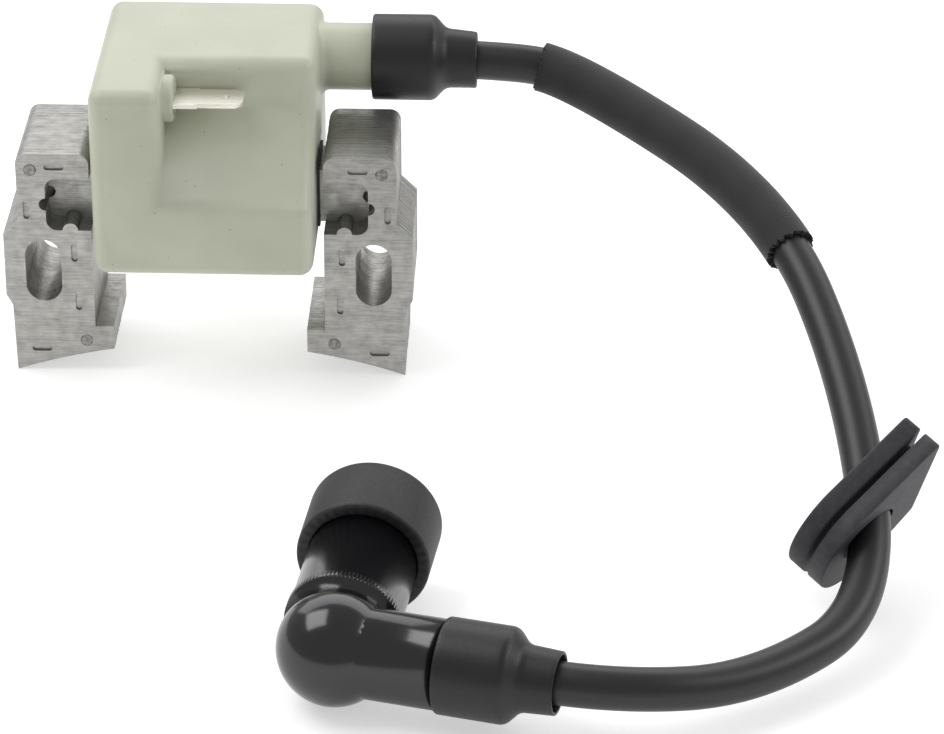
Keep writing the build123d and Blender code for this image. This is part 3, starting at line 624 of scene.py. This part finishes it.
def applyTree(piece, tree, values):
    # run a tree on a piece and keep the plain mesh that comes out
    modifier = piece.modifiers.new("tree", "NODES")
    modifier.node_group = tree
    ids = socketIds(tree)
    for name, value in values.items():
        modifier[ids[name]] = value
    graph = bpy.context.evaluated_depsgraph_get()
    mesh = bpy.data.meshes.new_from_object(piece.evaluated_get(graph))
    piece.modifiers.remove(modifier)
    return mesh


plateTree = laminationTree()


def laminated(name, nodeName, seed):
    # end plates carry the stamped marks as openings, and the plates behind close them
    low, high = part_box(nodeName)
    depth = high.y - low.y
    count = round(depth / (core["pitch"] * mm))
    pitch = depth / count
    thickness = pitch - core["gap"] * mm
    meshes = []
    for y, plates, step, start in (
        (low.y + core["markDepth"] * mm, 2, depth - pitch, low.y + thickness),
        (0.0, count - 2, pitch, low.y + pitch + thickness),
    ):
        section = linkObject(name + "Section", crossSection(nodeName, y), steel)
        values = {
            "plateCount": plates, "firstY": start, "pitch": step, "thickness": thickness,
            "wander": core["wander"] * mm if plates > 2 else 0.0, "seed": seed, "material": steel,
        }
        meshes.append(applyTree(section, plateTree, values))
        bpy.data.objects.remove(section)
    shape = bmesh.new()
    for mesh in meshes:
        shape.from_mesh(mesh)
    mesh = bpy.data.meshes.new(name)
    shape.to_mesh(mesh)
    shape.free()
    return linkObject(name, mesh, steel)


corePieces = {
    "coreLegLeft": "core_leg_left",
    "coreLegRight": "core_leg_right",
    "coreBar": "core_bar",
}
for seed, (name, nodeName) in enumerate(corePieces.items()):
    piece = laminated(name, nodeName, seed + 3)
    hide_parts(nodeName)
    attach(piece, "coil")
    print(name, len(piece.data.polygons), "faces")


# ---- turned rubber parts

def lathe(name, profile, origin, axis, material, around=128, ragged=None, sway=None):
    # closed ring of (distance along, radius) points in mm, turned about an axis that may sway
    turn = Vector((1, 0, 0)).rotation_difference(axis).to_matrix()
    shape = bmesh.new()
    rings = []
    for index, (along, radius) in enumerate(profile):
        ring = []
        drift = sway(along) if sway else Vector((0, 0, 0))
        for column in range(around):
            angle = 2 * math.pi * column / around
            extra = ragged(index, angle) if ragged else 0.0
            local = Vector((along + extra, radius * math.cos(angle), radius * math.sin(angle)))
            ring.append(shape.verts.new(turn @ (local * mm) + origin + drift))
        rings.append(ring)
    for first, second in zip(rings, rings[1:] + rings[:1]):
        for column in range(around):
            after = (column + 1) % around
            shape.faces.new((first[column], first[after], second[after], second[column]))
    bmesh.ops.recalc_face_normals(shape, faces=shape.faces)
    mesh = bpy.data.meshes.new(name)
    shape.to_mesh(mesh)
    shape.free()
    shadeByAngle(mesh, 28)
    return linkObject(name, mesh, material)


def roundedProfile(corners, steps=5):
    # (along, radius, fillet) corners of a closed outline, each fillet drawn as a short arc
    points = []
    count = len(corners)
    for index, (along, radius, fillet) in enumerate(corners):
        here = Vector((along, radius))
        before = Vector(corners[index - 1][:2])
        after = Vector(corners[(index + 1) % count][:2])
        if fillet <= 0:
            points.append(tuple(here))
            continue
        back = before - here
        on = after - here
        reach = min(fillet, 0.49 * back.length, 0.49 * on.length)
        start = here + back.normalized() * reach
        end = here + on.normalized() * reach
        for step in range(steps + 1):
            share = step / steps
            first = start.lerp(here, share)
            second = here.lerp(end, share)
            points.append(tuple(first.lerp(second, share)))
    return points


def denseProfile(points, step=0.8):
    # extra points on long straight stretches, so that a swaying axis bends smoothly
    dense = []
    for first, second in zip(points, points[1:] + points[:1]):
        count = max(1, round(math.dist(first, second) / step))
        for index in range(count):
            dense.append(tuple(Vector(first).lerp(Vector(second), index / count)))
    return dense


boots = {
    "diameter": 15.6, "neck": 10.2, "barrel": 11.2, "cone": 2.2, "neckLength": 5.6,
    "seatBore": 12.4, "seatDepth": 4.7, "leadBore": 8.0, "mouth": 5,
    "draft": 0.02, "coneRise": 0.3, "near": 45,
}


def leadDrift(origin, axis, along):
    # how far the lead has left a straight axis by this distance
    nearby = [point for point in linePoints if (point - origin).length < boots["near"] * mm]
    best = min(nearby, key=lambda point: abs((point - origin).dot(axis) - along * mm))
    off = best - origin
    return off - axis * off.dot(axis)


def makeBoot(name, nodeName, origin, axis, bent, flare):
    # a boot that slides keeps the bend its lead gave it; one that turns is straight, with a wider mouth
    big = boots["diameter"] / 2
    neck = boots["neck"] / 2
    seat = boots["seatBore"] / 2
    bore = boots["leadBore"] / 2
    coneEnd = boots["barrel"] + boots["cone"]
    total = coneEnd + boots["neckLength"]
    corners = [
        (0, seat, 0.3), (0, big - boots["draft"], 0.6), (boots["barrel"], big, 0.9),
        (coneEnd, neck + boots["coneRise"], 0.9), (total, neck, 0.5), (total, bore + flare, 0.2),
        (total - boots["mouth"], bore, 0.5), (boots["seatDepth"], bore, 0), (boots["seatDepth"], seat, 0),
    ]

    def followLead(along):
        # the neck bends with the lead, the barrel stays straight
        share = min(max((along - boots["barrel"]) / (total - boots["barrel"]), 0), 1)
        return leadDrift(origin, axis, along) * share

    outline = denseProfile(roundedProfile(corners))
    piece = lathe(name, outline, origin, axis, bootRubber, sway=followLead if bent else None)
    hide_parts(nodeName)
    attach(piece, nodeName)
    return piece


capAim = {
    "centre": Vector((29.0, -118.2, 9.5)), "armTurn": -14.5, "elbow": 97.0,
    "sealRadius": 11.15, "sealStart": 24.0, "bootStart": 17.7,
}
armTurn = math.radians(capAim["armTurn"])
armAxis = Vector((math.cos(armTurn), math.sin(armTurn), 0))
capTilt = Quaternion(armAxis, (capAim["sealRadius"] - capAim["centre"].z) / capAim["sealStart"])
elbowTurn = math.radians(capAim["armTurn"] + capAim["elbow"])
tubeAxis = capTilt @ Vector((math.cos(elbowTurn), math.sin(elbowTurn), 0))
capCentre = capAim["centre"] * mm

towerBoot = makeBoot("towerBoot", "tower_boot", Vector((28.7, 13.5, 52.6)) * mm, Vector((1, 0, 0)), True, 0.1)
capBoot = makeBoot("capBoot", "cap_boot", capCentre + armAxis * capAim["bootStart"] * mm, armAxis, False, 0.6)

seal = {
    "start": 24.0, "end": 37.0, "radius": 11.15, "tube": 9.05, "tubeEnd": 28.0, "bore": 5.8,
    "lip": 3, "lipBore": 6.8, "draft": 0.1, "ragged": 0.35, "raggedReach": 0.3, "waves": 5,
}


def makeSeal():
    corners = [
        (seal["start"], seal["tube"], 0.2), (seal["start"], seal["radius"] - seal["draft"], 0.7),
        (seal["end"], seal["radius"], 1.2), (seal["end"], seal["lipBore"], 0.4),
        (seal["end"] - seal["lip"], seal["bore"], 0.4), (seal["tubeEnd"], seal["bore"], 0),
        (seal["tubeEnd"], seal["tube"], 0),
    ]
    random.seed(9)
    waves = [
        (random.randint(9, 40), random.uniform(0, 6.28), random.uniform(0.2, 1)) for i in range(seal["waves"])
    ]
    outline = roundedProfile(corners)

    def raggedEdge(index, angle):
        # the flash left on the rim nearest the elbow was torn off by hand
        if abs(outline[index][0] - seal["start"]) > seal["raggedReach"]:
            return 0.0
        total = sum(math.sin(n * angle + phase) * size for n, phase, size in waves)
        return seal["ragged"] * total / seal["waves"]

    piece = lathe("plugSeal", outline, capCentre, tubeAxis, sealRubber, 160, raggedEdge)
    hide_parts("plug_seal")
    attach(piece, "cap")
    return piece


sealPiece = makeSeal()
print("boots and seal made")

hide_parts("lead_jacket")
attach(leadPiece, "coil")
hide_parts("lead_sleeve")
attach(sleevePiece, "coil")


# ---- floor and light

studio = {
    "floor": "#d2d2d2", "glow": 0.5, "sky": 0.5, "aim": Vector((0.045, -0.05, 0.02)),
    "softboxes": {
        "overheadLeft": {"towards": (-0.52, 0.05, 0.84), "away": 1.0, "size": (0.62, 0.62), "power": 4.8},
        "right": {"towards": (0.845, 0.0, 0.535), "away": 1.0, "size": (0.5, 0.4), "power": 2.6},
        "rear": {"towards": (0.0, 0.78, 0.62), "away": 1.3, "size": (2.6, 0.8), "power": 11.0},
    },
}


def addFloor():
    shape = bmesh.new()
    bmesh.ops.create_grid(shape, x_segments=1, y_segments=1, size=3)
    mesh = bpy.data.meshes.new("floor")
    shape.to_mesh(mesh)
    shape.free()
    # pale and matt, and faintly lit from within so that shadows stay light
    material, tree, shader, coords = newMaterial("paleFloor")
    shader.inputs["Base Color"].default_value = linearColour(studio["floor"])
    shader.inputs["Roughness"].default_value = 0.9
    shader.inputs["Specular IOR Level"].default_value = 0.2
    shader.inputs["Emission Color"].default_value = (1, 1, 1, 1)
    shader.inputs["Emission Strength"].default_value = studio["glow"]
    floor = linkObject("floor", mesh, material)


def addSoftbox(name, box):
    light = bpy.data.lights.new(name, "AREA")
    light.shape = "RECTANGLE"
    light.size, light.size_y = box["size"]
    light.energy = box["power"]
    lamp = bpy.data.objects.new(name, light)
    scene.collection.objects.link(lamp)
    towards = Vector(box["towards"]).normalized()
    lamp.location = studio["aim"] + towards * box["away"]
    lamp.rotation_euler = towards.to_track_quat("Z", "Y").to_euler()


addFloor()
world = bpy.data.worlds.new("studio")
world.use_nodes = True
world.node_tree.nodes["Background"].inputs["Color"].default_value = (1, 1, 1, 1)
world.node_tree.nodes["Background"].inputs["Strength"].default_value = studio["sky"]
scene.world = world
for name, box in studio["softboxes"].items():
    addSoftbox(name + "Softbox", box)
scene.view_settings.view_transform = "Standard"
print("studio made")
